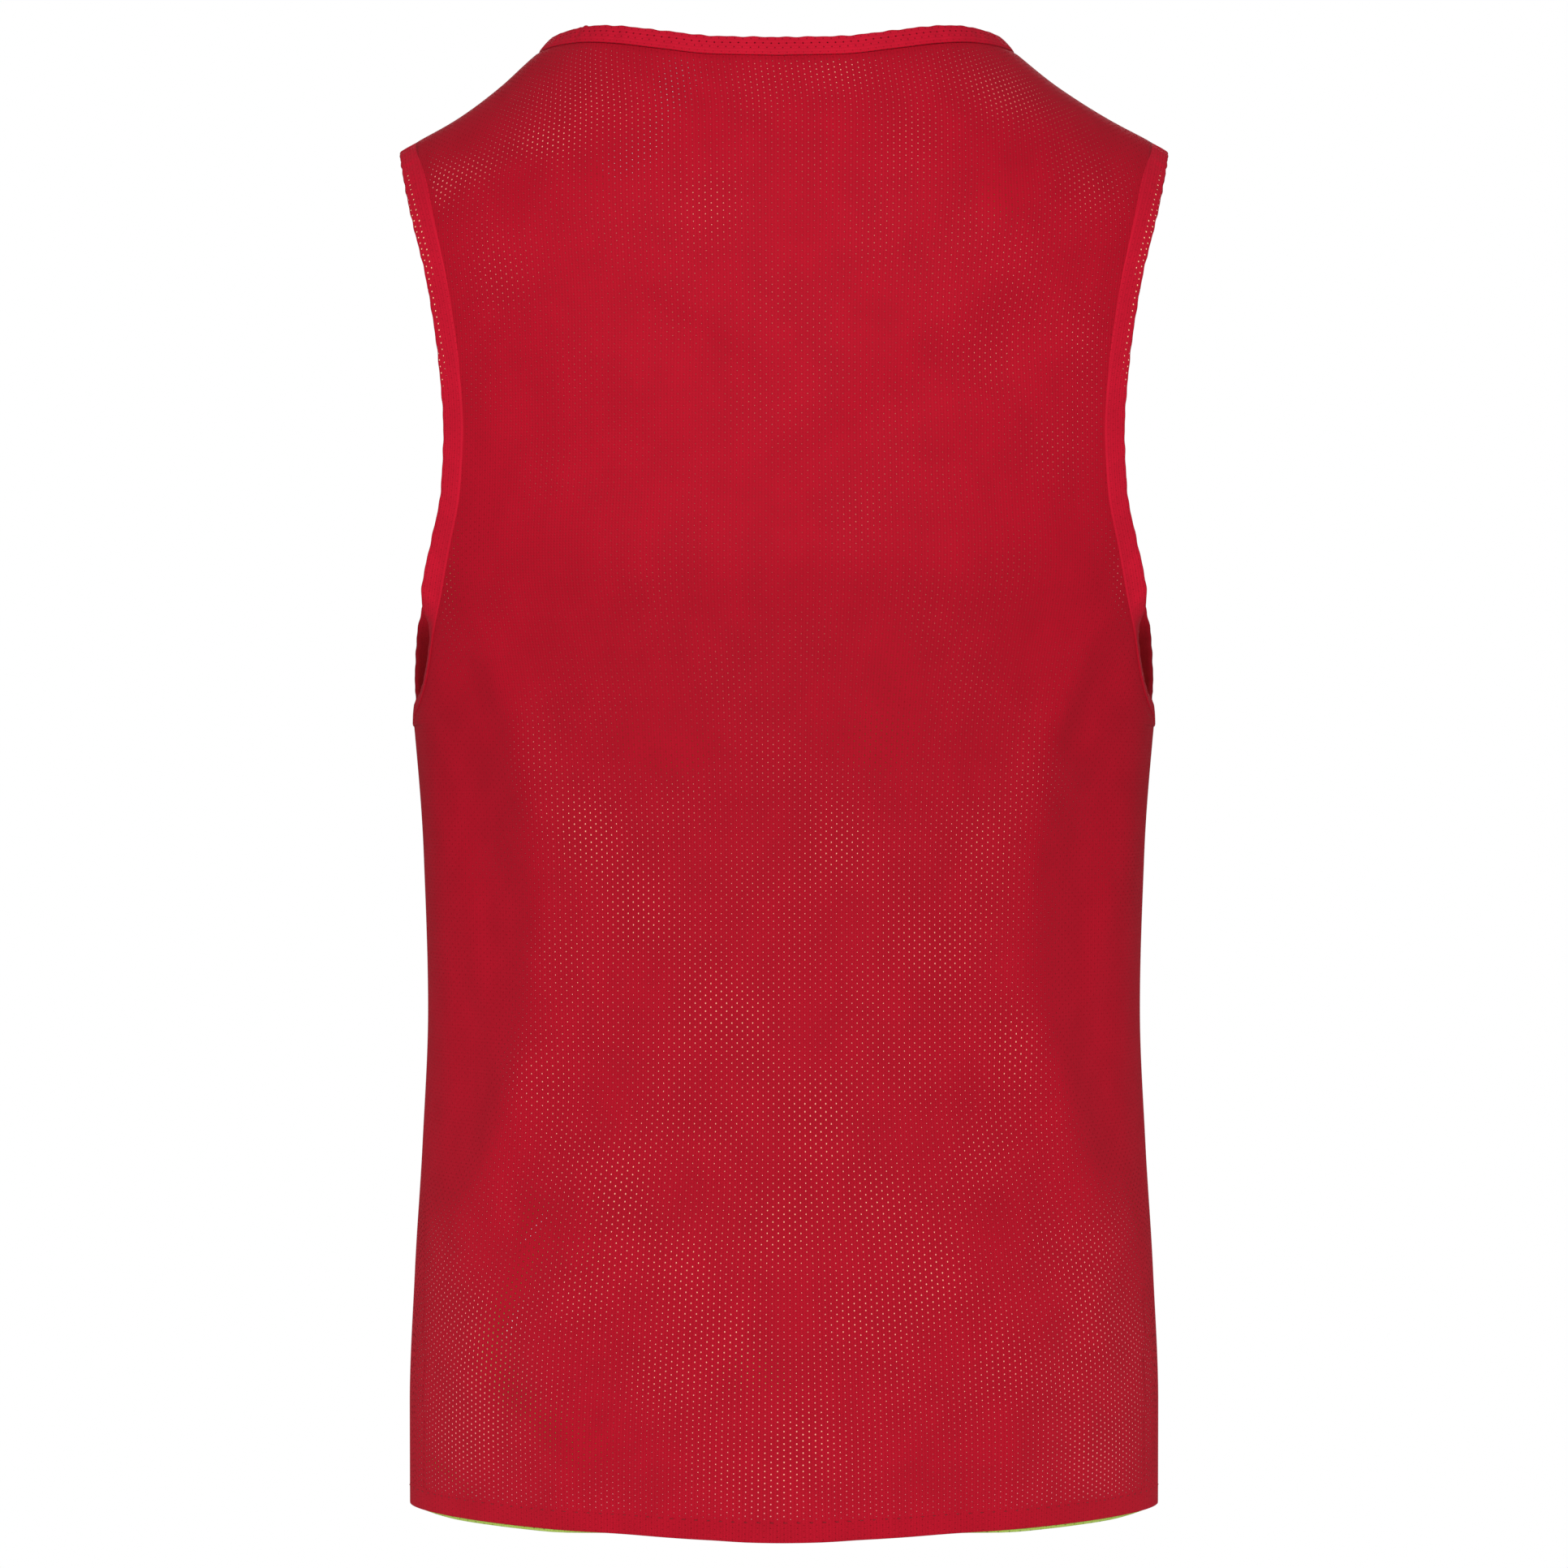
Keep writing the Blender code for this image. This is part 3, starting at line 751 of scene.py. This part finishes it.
# ------------------------
# Yellow-green back and front
# The other face of the reversible bib, cut like the red one and sewn to it with the wrong sides
# together, so that it lines the red cloth all over and shows through its holes. Its hem is turned
# up between the layers and hangs a little low towards the sides.
# ------------------------
LINING_CELLS = {"neck": 26, "shoulder": 14, "body": 76, "yoke": 66}
LINING_LIES = -0.00095  # its face, from the red one, where the layers touch
LINING_AT_HEM = -0.00200
LINING_SINK = 0.0005  # it comes this much closer to the red face at a seam
HEM_ROOM = (0.010, 0.030)  # heights over the hem between which the layers close up
LINING_SHUT = (0.001, 0.0045)  # its holes are shut this near to a seam
LINING_SHUT_AT_HEM = (0.006, 0.011)
PEEK = 0.0015  # the yellow hem shows this far under the red one
PEEK_BEGINS = (0.075, 0.110)  # between these distances from the centre
PEEK_ENDS = (0.150, 0.180)


def lining_face(panel, row):
    room = smooth(panel.z[row] - HEM, *HEM_ROOM)
    sink = room * (1 - smooth(panel.from_seam[row], 0, SEAM_REACH))
    return LINING_AT_HEM + (LINING_LIES - LINING_AT_HEM) * room - LINING_SINK * sink


def lining_drop(x):
    return PEEK * between(np.abs(x), PEEK_BEGINS, PEEK_ENDS)


yellow_mesh = knitted_cloth(
    "Yellow-green mesh",
    deep=(0.24, 0.36, 0.05, 1.0),
    lit=(0.56, 0.76, 0.15, 1.0),
    shut=0.00020,
    drawn=0.00036,
    turn=0.012,
    drift=0.006,
)
# Painted red glow for the red light that goes to and fro between the layers, but not at the hem
# and the seams
yellow_painted_glow = yellow_mesh.copy()
yellow_painted_glow.name = "Yellow-green mesh with painted red glow"
tree = yellow_painted_glow.node_tree
shader = tree.nodes["Principled BSDF"].inputs
clear = add_node(tree, "Attribute", attribute_name="openness").outputs["Fac"]
glow = blend(tree, clear, (0.0, 0.0, 0.0, 1.0), (1.0, 0.31, 0.35, 1.0))
feed(tree, shader, {"Emission Color": glow, "Emission Strength": 0.78})
for name, side in (("back", 1), ("front", -1)):
    panel = Panel(side, **LINING_CELLS)
    holes = smooth(panel.from_seam, *LINING_SHUT) * smooth(panel.z - HEM, *LINING_SHUT_AT_HEM)
    masks = {"openness": holes}
    piece = cloth_grid(f"{name}_yellow_mesh", panel, lining_face, 1, lining_drop, -side, **masks)
    piece.data.materials.append(yellow_mesh)
    piece.data.materials.append(yellow_painted_glow)
    piece.modifiers["wall"].material_offset = 1
    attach(piece, "root")
    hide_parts(f"{name}_lining")

# ------------------------
# Neck binding
# A strip of the red knit, folded over the neck edge of both layers and stitched down. Its ends
# are joined near the wearer's left shoulder, where the join stands up a little. Two sparse rows
# of nearly shut holes run along it.
# ------------------------
LAYERS = 0.0021  # thickness of both layers of cloth
BAND_RISE = 0.0003  # a binding lies this much over the cloth on each face
BAND_DOME = 0.00015
BAND_CLOTH = 0.0005
BAND_STEP = 0.0013  # between points along a binding
LIP = (
    # off the seam, height over the cloth, share of the groove
    (0.0, 0.0, 1.0),
    (0.0003, 0.0001, 1 / 3),
    (0.0011, BAND_RISE - 0.00005, 0.0),
)
FACE_FROM = 0.0020  # off the seam
FACE_STEPS = 8
FOLD_STEPS = 8
NECK_BAND = 0.0096  # from the seam to the fold
NECK_BAND_STANDS = 0.45  # how far that binding turns up from the cloth: 0 none, 1 upright
NECK_BAND_LIES = 0.16  # and how far at the shoulders
NECK_LIES_FROM = (0.078, NECK_HALF - 0.004)  # from the centre
NECK_OPEN = ((0.0018, 0.0030), (0.0062, 0.0075))  # holes open and shut from the fold outwards
SHADE_OUTSIDE = 0.4  # share of a binding's painted shade that is on its outer face as well
SHADE_BEGINS = (-0.0034, -0.0014)  # the rest begins so far outside the strip's middle
PUCKER = 0.00014
PUCKERS = (
    # length, phase
    (0.0085, 0.0),
    (0.0136, 1.0),
)
PUCKER_LAG = 3  # points by which the fold's stretch is behind its rise
JOIN_AT = 0.098  # from the centre of the back
JOIN = (
    # from the join, reach along, rise, stretch
    (-0.0022, 0.0016, 0.0002, 0.0007),
    (0.0000, 0.0009, -0.0004, -0.0006),
    (0.0022, 0.0018, 0.0002, 0.0003),
)


class Edge:
    """A closed edge of the panels with its directions, read at any length along it."""

    def __init__(self, points, over, away, at=None):
        steps = np.linalg.norm(np.roll(points, -1, axis=0) - points, axis=1)
        self.at = np.concatenate(([0], np.cumsum(steps))) if at is None else at
        self.length = self.at[-1]
        self.values = np.hstack((points, over, away))

    def read(self, at):
        """Place, direction over the cloth and direction off its edge."""
        at = np.mod(at, self.length)
        i = np.clip(np.searchsorted(self.at, at, side="right") - 1, 0, len(self.values) - 1)
        t = ((at - self.at[i]) / (self.at[i + 1] - self.at[i]))[:, None]
        near = (self.values.take(i + k, axis=0, mode="wrap") for k in (-1, 0, 1, 2))
        before, here, there, after = near
        bend = (1 - t) * (2 * here - before - there) + t * (2 * there - here - after)
        values = here + t * (there - here) + t * (1 - t) * bend / 2
        return values[:, :3], unit(values[:, 3:6]), unit(values[:, 6:])


def around(back, front):
    """Joins the back's and the front's stretch of an edge into one closed loop."""
    return np.vstack((back, front[-2:0:-1]))


def away_from_panel(edge, normals, towards):
    ahead = np.roll(edge, -1, axis=0) - edge
    run = unit(unit(ahead) + unit(np.roll(ahead, 1, axis=0)))
    away = unit(np.cross(run, normals))
    return away * np.sign(np.sum(away * towards, axis=1, keepdims=True)), run


def band_section(width, lap, inset, groove):
    """A folded strip from one tucked edge to the other: distance off the panel's edge, height."""
    radius = LAYERS / 2 + BAND_RISE - inset
    middle = -LAYERS / 2
    lip = [(out - lap, height - groove * share) for out, height, share in LIP]
    face = [
        (out, BAND_RISE + BAND_DOME * math.sin(math.pi * (out + lap) / (width + lap)))
        for out in np.linspace(FACE_FROM - lap, width - radius - inset, FACE_STEPS)
    ]
    top = [(out, height - inset) for out, height in (face if inset else lip + face)]
    fold = [
        (width - inset - radius * (1 - math.sin(turn)), middle + radius * math.cos(turn))
        for turn in np.linspace(0, math.pi, FOLD_STEPS + 1)[1:-1]
    ]
    return np.array(top + fold + [(out, 2 * middle - height) for out, height in top[::-1]])


def whole(at):
    return 1 + 0 * at


def binding(
    name, edge, width, holes, seam=None, lap=0.0, laps=whole, bumps=(), roll=none, shade=none,
    drawn=0.0, inset=0.0, groove=0.0006, thickness=BAND_CLOTH,
):
    """Strip folded over an edge, which laps over the panel along its seam. Holes gives how far
    they open at a distance from the fold and a height. At a height, laps gives the share of the
    lap, roll how far the strip's middle lies outside the fold, and shade how much painted shade
    darkens its knit and how far its holes shut, inside and along the fold. Drawn tells how far it
    is drawn out where it runs flat."""
    section = band_section(width, lap, inset, groove)
    steps = np.linalg.norm(np.diff(section, axis=0), axis=1)
    across = np.concatenate(([0], np.cumsum(steps)))[:, None]
    across -= across[-1] / 2
    along = np.linspace(0, edge.length, round(edge.length / BAND_STEP) + 1)
    points, over, away = edge.read(along)
    panel_over, panel_away = (seam or edge).read(along)[1:]
    steps = np.linalg.norm(np.diff(points, axis=0), axis=1)
    climb = np.maximum(np.abs(np.diff(points[:, 2])), steps / 4)
    knit = np.concatenate(([0], np.cumsum(steps ** (1 - drawn) * climb**drawn)))
    wave = 0 * along
    for length, phase in PUCKERS:
        wave += np.sin(2 * np.pi * along * round(edge.length / length) / edge.length + phase)
    rise, stretch = PUCKER * wave, PUCKER * np.roll(wave, PUCKER_LAG)
    for at, reach, lift, further in bumps:
        near = np.exp(-(((along - at) / reach) ** 2))
        rise, stretch = rise + lift * near, stretch + further * near

    heights = points[:, 2]
    out, height = section[:, :1], section[:, 1:]
    free = np.clip(out / width, 0, 1)
    outer = np.where(height > -LAYERS / 2, 1, -1)
    lift = (height + outer * rise * np.sin(np.pi * free))[..., None]
    off = (out + stretch * free**3)[..., None]
    lapped = panel_away * (out * laps(heights))[..., None] + panel_over * height[..., None]
    places = points + np.where(out[..., None] < 0, lapped, away * off + over * lift)
    # painted shade, partly on the outer face and fully inside and along the fold
    shaded = shade(heights) * smooth(across, *SHADE_BEGINS)
    masks = {
        "openness": holes(np.abs(across), heights) * (1 - shaded),
        "painted_shade": SHADE_OUTSIDE * shade(heights) + (1 - SHADE_OUTSIDE) * shaded,
    }
    knit = np.stack(np.broadcast_arrays(across + roll(heights), knit), axis=2)
    crest = points[0] + away[0] * width
    return cloth_sheet(name, places, knit, masks, crest, Vector(away[0]), thickness)


def neck_edge(back, front):
    columns = slice(back.shoulder, back.shoulder + 2 * back.neck + 1)
    points = around(back.points[-1, columns], front.points[-1, columns])
    normals = around(back.normals[-1, columns], front.normals[-1, columns])
    away, run = away_from_panel(points, normals, points * (-1, -1, 0) + (0, 0, NECK_HALF))
    near_shoulder = smooth(np.abs(points[:, :1] - NECK_SHIFT), *NECK_LIES_FROM)
    stands = NECK_BAND_STANDS + (NECK_BAND_LIES - NECK_BAND_STANDS) * near_shoulder
    return turned_edge(points, normals, away, np.array((0, 0, 1)) * stands / (1 - stands), run)


def turned_edge(points, normals, away, turn, run, sunk=0.0):
    """An edge whose binding is turned from the cloth's own direction, and sunk in the cloth."""
    away = unit(away + turn - run * np.sum(turn * run, axis=1, keepdims=True))
    over = unit(np.cross(away, run))
    over = over * np.sign(np.sum(over * normals, axis=1, keepdims=True))
    return Edge(points - over * sunk, over, away)


def neck_holes(from_fold, height):
    """Nearly shut, a little more open in two rows along each face."""
    return between(from_fold, *NECK_OPEN)


neck_cloth = knitted_cloth(
    "Red neck knit",
    deep=(0.26, 0.003, 0.010, 1.0),
    lit=(0.73, 0.008, 0.035, 1.0),
    across=0.0023,
    along=0.0038,
    shut=0.00008,
    drawn=0.00030,
)
neck = neck_edge(panels["back"], panels["front"])
back_neck = len(neck.values) // 2 + 1
join_at = np.interp(JOIN_AT, neck.values[:back_neck, 0], neck.at[:back_neck])
neck_binding = binding(
    "neck_binding_knit",
    neck,
    NECK_BAND,
    neck_holes,
    bumps=[(join_at + off, *rest) for off, *rest in JOIN],
)
neck_binding.data.materials.append(neck_cloth)
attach(neck_binding, "root")
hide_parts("neck_binding")

# ------------------------
# Armhole bindings
# Strips like the neck's, folded over the armhole's edge. Two rows of open holes follow the fold,
# and the edge of the yellow-green mesh inside the fold shows through them.
# ------------------------
ARM_BAND = 0.0092  # from the panels' edge to the fold
ARM_LAP = 0.0036  # it laps so far over the panels
ARM_CLOTH = 0.0002  # thickness of the knit and of what is inside its fold
ARM_ROWS = 0.0028  # between the rows of open holes along the fold
ARM_PITCH = 0.00306  # between the holes of a row
EDGE_INSET = 0.0004  # the yellow-green edge lies this far inside the fold
# Low down the back's binding flares out and then tucks in, and the front's shows beyond it
ARM_TURNS = (
    # height, back outwards, back forwards, front outwards
    (UNDERARM, -0.15, 0.0, -0.15),
    (-0.2880, -0.05, 1.8, 0.15),
    (-0.2780, 0.0, 2.5, 0.40),
    (-0.2620, 0.0, 2.9, 0.75),
    (-0.2530, 0.2, 2.1, 1.40),
    (-0.2440, 0.85, 0.7, 2.20),
    (-0.2360, 0.95, 0.2, 1.70),
    (-0.2150, 0.22, 0.0, 0.40),
    (-0.1930, 0.0, 0.0, 0.0),
    (0.0, 0.0, 0.0, 0.0),
)
# Painted shade low inside the armhole, which also shuts the holes there
ARM_SHADE = (
    # height, share
    (UNDERARM, 0.7),
    (-0.285, 0.8),
    (-0.258, 0.8),
    (-0.235, 0.0),
    (0.0, 0.0),
)
# The strip isn't folded along its middle, which comes out over the fold on the way down
ARM_ROLL = (
    # height, how far outside
    (-0.140, 0.0058),
    (-0.116, 0.0044),
    (-0.108, 0.0042),
    (-0.085, 0.0033),
    (-0.064, 0.0026),
    (-0.042, 0.0014),
    (-0.031, 0.0010),
)
ARM_SUNK = 0.0006  # the binding sinks so far into the cloth over the shoulder
ARM_SINKS = (-0.055, -0.025)  # heights between which it does
LEAST_LAP = 0.15  # share of the lap that is left where the back's binding tucks in low down
LAP_GROWS = (-0.258, -0.232)
# Heights between which the holes open and then shut, in both rows and in the second one
OPEN_HEIGHTS = ((-0.150, -0.130), (-0.038, -0.030))
SECOND_HEIGHTS = ((-0.098, -0.084), (-0.055, -0.042))
FIRST_REACH = 0.0046  # the first row of open holes ends this far from the fold
SECOND_REACH = 0.0016  # and the second one so much farther
REACH_SOFT = 0.0008


def arm_laps(height):
    return LEAST_LAP + (1 - LEAST_LAP) * smooth(height, *LAP_GROWS)


def armhole_holes(from_fold, height):
    """Open in two rows below the shoulder, then in one, and shut low down."""
    reach = FIRST_REACH + SECOND_REACH * between(height, *SECOND_HEIGHTS)
    open_here = between(height, *OPEN_HEIGHTS)
    return open_here * (1 - smooth(from_fold, reach, reach + REACH_SOFT))


def all_open(from_fold, height):
    return whole(height)


arm_cloth = knitted_cloth(
    "Red armhole knit",
    deep=(0.25, 0.003, 0.009, 1.0),
    lit=(0.76, 0.008, 0.036, 1.0),
    across=ARM_ROWS,
    along=ARM_PITCH,
    shut=0.00006,
    drawn=0.00042,
)
armhole_seams = []
back, front = panels["back"], panels["front"]
rows = slice(back.body, None)
for name, column in (("left", -1), ("right", 0)):
    points = around(back.points[rows, column], front.points[rows, column])
    normals = around(back.normals[rows, column], front.normals[rows, column])
    away, run = away_from_panel(points, normals, points.mean(axis=0) - points)
    heights, behind = points[:, 2], points[:, 1] > 0
    outwards = np.where(behind, follow(ARM_TURNS, 1, heights), follow(ARM_TURNS, 3, heights))
    forwards = np.where(behind, follow(ARM_TURNS, 2, heights), 0)
    turn = np.stack((outwards * np.sign(points[:, 0]), -forwards, 0 * heights), axis=1)
    sunk = ARM_SUNK * smooth(points[:, 2:], *ARM_SINKS)
    edge = turned_edge(points, normals, away, turn, run, sunk)
    seam = Edge(points - normals * sunk, normals, away, at=edge.at)
    armhole_seams.append(seam)
    piece = binding(
        f"armhole_binding_{name}_knit",
        edge,
        ARM_BAND,
        armhole_holes,
        seam,
        ARM_LAP,
        laps=arm_laps,
        roll=partial(follow, ARM_ROLL, 1),
        shade=partial(follow, ARM_SHADE, 1),
        drawn=0.6,
        groove=0.0002,
        thickness=ARM_CLOTH,
    )
    piece.data.materials.append(arm_cloth)
    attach(piece, "root")
    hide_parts(f"armhole_binding_{name}")
    # The yellow-green edge inside the fold, with the painted red glow
    inside = binding(
        f"armhole_lining_edge_{name}",
        edge,
        ARM_BAND,
        all_open,
        inset=EDGE_INSET,
        thickness=ARM_CLOTH,
    )
    inside.data.materials.append(yellow_painted_glow)
    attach(inside, "root")

# ------------------------
# Seam stitches
# Red thread, sunk in the grooves beside the bindings on both faces, and one sparse row along the
# top of the turned hem.
# ------------------------
STITCH_PITCH = 0.0030
STITCH = (0.00105, 0.00024, 0.00022)  # half length, half width, half height
HEM_STITCH_PITCH = 0.0060
HEM_STITCH_ROW = 3  # the row of the panels' grid just under them
HEM_STITCH_OVER = (0.0005, 0.00002)  # over that row, over the cloth
STITCH_OFF = 0.0003  # off the seam
STITCH_SUNK = 0.00035  # in its groove

thread, tree, shader = new_material("Red thread")
spot = add_node(tree, "TexCoord").outputs["Object"]
twist = add_node(tree, "TexNoise", {"Vector": spot, "Scale": 900.0})
tint = blend(tree, twist.outputs["Fac"], (0.14, 0.002, 0.006, 1.0), (0.36, 0.004, 0.014, 1.0))
feed(tree, shader, {"Base Color": tint, "Roughness": 0.6})


def stitch(bm, middle, ahead, over):
    across = np.cross(over, ahead)
    turn = Matrix([axis * size for axis, size in zip((ahead, across, over), STITCH)]).transposed()
    matrix = Matrix.Translation(middle) @ turn.to_4x4()
    bmesh.ops.create_icosphere(bm, subdivisions=1, radius=1, matrix=matrix)


def seam_stitches(name, edges, pitch, out, heights):
    """Rows of stitches along edges, at a distance off them and at heights over the cloth."""
    bm = bmesh.new()
    for edge in edges:
        at = np.arange(0, edge.length - pitch / 2, edge.length / round(edge.length / pitch))
        points, over, away = edge.read(at)
        ahead = edge.read(at + pitch / 2)[0] - edge.read(at - pitch / 2)[0]
        for point, run, up, off in zip(points, unit(ahead), over, away):
            for height in heights:
                stitch(bm, point + off * out + up * height, run, unit(up - run * np.dot(up, run)))
    piece = finished(name, bm)
    piece.data.materials.append(thread)
    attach(piece, "root")


SEAM_HEIGHTS = (-STITCH_SUNK, STITCH_SUNK - LAYERS)
seam_stitches("neck_stitches", [neck], STITCH_PITCH, STITCH_OFF, SEAM_HEIGHTS)
beside_lap = STITCH_OFF - ARM_LAP
seam_stitches("armhole_stitches", armhole_seams, STITCH_PITCH, beside_lap, SEAM_HEIGHTS)
row = around(back.points[HEM_STITCH_ROW], front.points[HEM_STITCH_ROW])
normals = around(back.normals[HEM_STITCH_ROW], front.normals[HEM_STITCH_ROW])
hem_line = Edge(row, normals, np.tile((0.0, 0.0, 1.0), (len(row), 1)))
up, over = HEM_STITCH_OVER
seam_stitches("hem_stitches", [hem_line], HEM_STITCH_PITCH, up, [over])

# ------------------------
# Floor, lights and camera
# A pale floor well below the hem, soft lamps before the back, which the camera sees, and the
# front, two small ones low at the sides, and pale air all round.
# ------------------------
FLOOR = -1.42
FLOOR_HALF = 4.2  # it ends just out of the camera's sight
bm = bmesh.new()
ground = Matrix.Translation((0, 0, FLOOR))
bmesh.ops.create_grid(bm, x_segments=1, y_segments=1, size=FLOOR_HALF, matrix=ground)
floor = finished("studio_floor", bm)
pale, tree, shader = new_material("Pale floor")
feed(tree, shader, {"Base Color": (0.86, 0.86, 0.86, 1), "Roughness": 0.9})
floor.data.materials.append(pale)

AIR_LIGHT = 0.30
world = bpy.data.worlds.new("Studio")
bpy.context.scene.world = world
world.use_nodes = True
tree = world.node_tree
seen = add_node(tree, "LightPath").outputs["Is Camera Ray"]
strength = ramp(tree, seen, 0.0, 1.0, AIR_LIGHT, 1.0)
feed(tree, tree.nodes["Background"].inputs, {"Strength": strength, "Color": (1, 1, 1, 1)})

SOFT = {"size": 1.1, "energy": 26.5}
LOW = {"energy": 14.5, "spot_size": math.radians(26), "spot_blend": 1, "shadow_soft_size": 0.2}
for name, kind, settings, place, aim in (
    ("key_lamp", "AREA", SOFT, (0.05, 2.1, 0.30), MIDDLE),
    ("far_lamp", "AREA", SOFT, (-0.05, -2.1, 0.30), MIDDLE),
    ("left_fill", "SPOT", LOW, (1.5, 0.03, -0.95), Vector((0.16, 0.03, -0.62))),
    ("right_fill", "SPOT", LOW, (-1.5, 0.03, -0.95), Vector((-0.16, 0.03, -0.62))),
):
    lamp = bpy.data.lights.new(name, kind)
    for setting, value in settings.items():
        setattr(lamp, setting, value)
    lamp_object = bpy.data.objects.new(name, lamp)
    lamp_object.location = place
    lamp_object.rotation_euler = (aim - Vector(place)).to_track_quat("-Z", "Y").to_euler()
    lamp_object.visible_camera = False
    bpy.context.collection.objects.link(lamp_object)

camera = bpy.data.cameras.new("camera")
camera.lens = 113.74
camera.sensor_width = 36
camera_object = bpy.data.objects.new("camera", camera)
camera_object.location = (0, 2.35, -0.323)
camera_object.rotation_euler = (math.radians(90), 0, math.radians(180))
bpy.context.collection.objects.link(camera_object)
bpy.context.scene.camera = camera_object
bpy.context.scene.view_settings.view_transform = "Standard"
